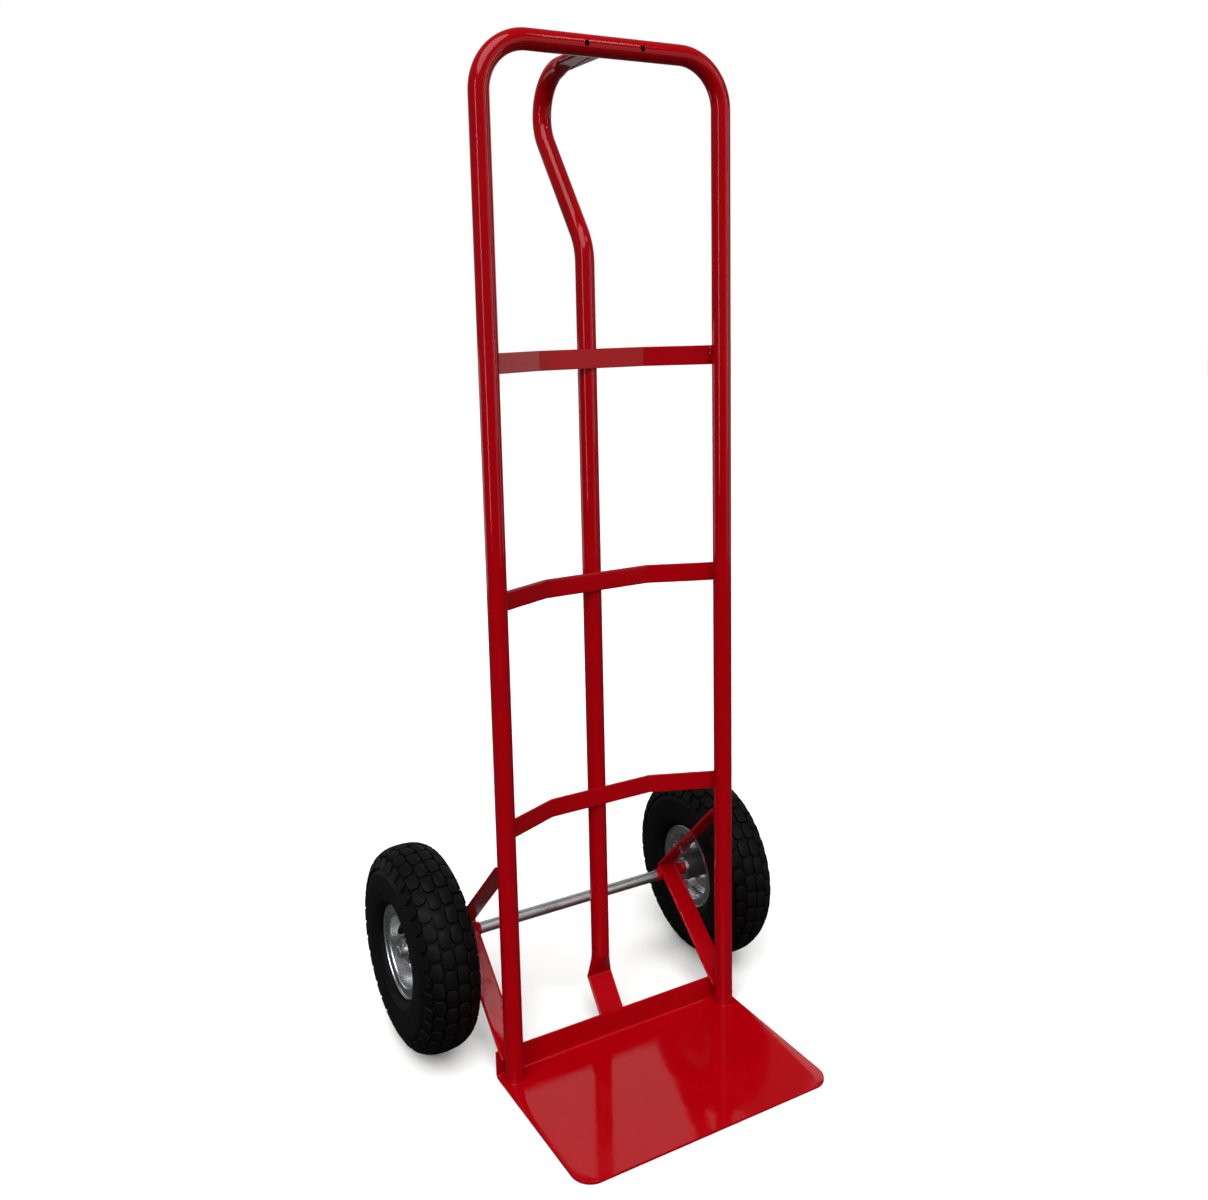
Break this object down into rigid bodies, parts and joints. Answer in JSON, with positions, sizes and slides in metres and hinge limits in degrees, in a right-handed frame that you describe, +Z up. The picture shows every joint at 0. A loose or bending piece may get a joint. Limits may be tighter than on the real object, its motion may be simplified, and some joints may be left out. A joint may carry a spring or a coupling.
{
  "type": "hand truck",
  "caption": "Upright tubular steel hand truck with a looped rear grip, folded toe plate, flat crossbars, V-shaped axle brackets and air-filled wheels.",
  "frame": {"origin": "on the floor under the toe plate, midway between the rails, in the plane of the rails' centre lines", "axes": "+Z up along the rails, the toe plate points to -Y, +X along the axle"},
  "size_m": [0.562, 0.511, 1.335],
  "materials": {
    "red_enamel": "glossy stoved enamel",
    "zinc_axle": "bright zinc plate",
    "zinc_rim": "satin zinc plate on pressed sheet",
    "zinc_fasteners": "zinc plate",
    "hub_steel": "dark phosphated steel",
    "bearing_steel": "ground",
    "tyre_rubber": "moulded block tread",
    "butyl_rubber": "smooth",
    "valve_rubber": "moulded"
  },
  "bodies": {
    "frame": {"axle": "zinc_axle", "axle_bracket_left": "red_enamel", "axle_bracket_right": "red_enamel", "axle_sleeve_left": "red_enamel", "axle_sleeve_right": "red_enamel", "bearing_inner_rings_left": "bearing_steel", "bearing_inner_rings_right": "bearing_steel", "crossbar_lower": "red_enamel", "crossbar_middle": "red_enamel", "crossbar_top": "red_enamel", "frame_tube": "red_enamel", "handle_tube": "red_enamel", "split_pins": "zinc_fasteners", "toe_plate": "red_enamel", "washers": "zinc_fasteners"},
    "wheel_left": {"bearing_balls_left": "bearing_steel", "bearing_outer_rings_left": "bearing_steel", "hub_left": "hub_steel", "inner_tube_left": "butyl_rubber", "rim_bolts_left": "zinc_fasteners", "rim_inner_left": "zinc_rim", "rim_nuts_left": "zinc_fasteners", "rim_outer_left": "zinc_rim", "tyre_left": "tyre_rubber", "valve_cap_left": "valve_rubber", "valve_stem_left": "valve_rubber"},
    "wheel_right": {"bearing_balls_right": "bearing_steel", "bearing_outer_rings_right": "bearing_steel", "hub_right": "hub_steel", "inner_tube_right": "butyl_rubber", "rim_bolts_right": "zinc_fasteners", "rim_inner_right": "zinc_rim", "rim_nuts_right": "zinc_fasteners", "rim_outer_right": "zinc_rim", "tyre_right": "tyre_rubber", "valve_cap_right": "valve_rubber", "valve_stem_right": "valve_rubber"}
  },
  "joints": [
    {"name": "wheel_left_spin", "type": "hinge", "parent": "frame", "child": "wheel_left", "pos_m": [-0.239, 0.151, 0.141], "axis": [1, 0, 0], "continuous": true},
    {"name": "wheel_right_spin", "type": "hinge", "parent": "frame", "child": "wheel_right", "pos_m": [0.239, 0.151, 0.141], "axis": [1, 0, 0], "continuous": true}
  ]
}
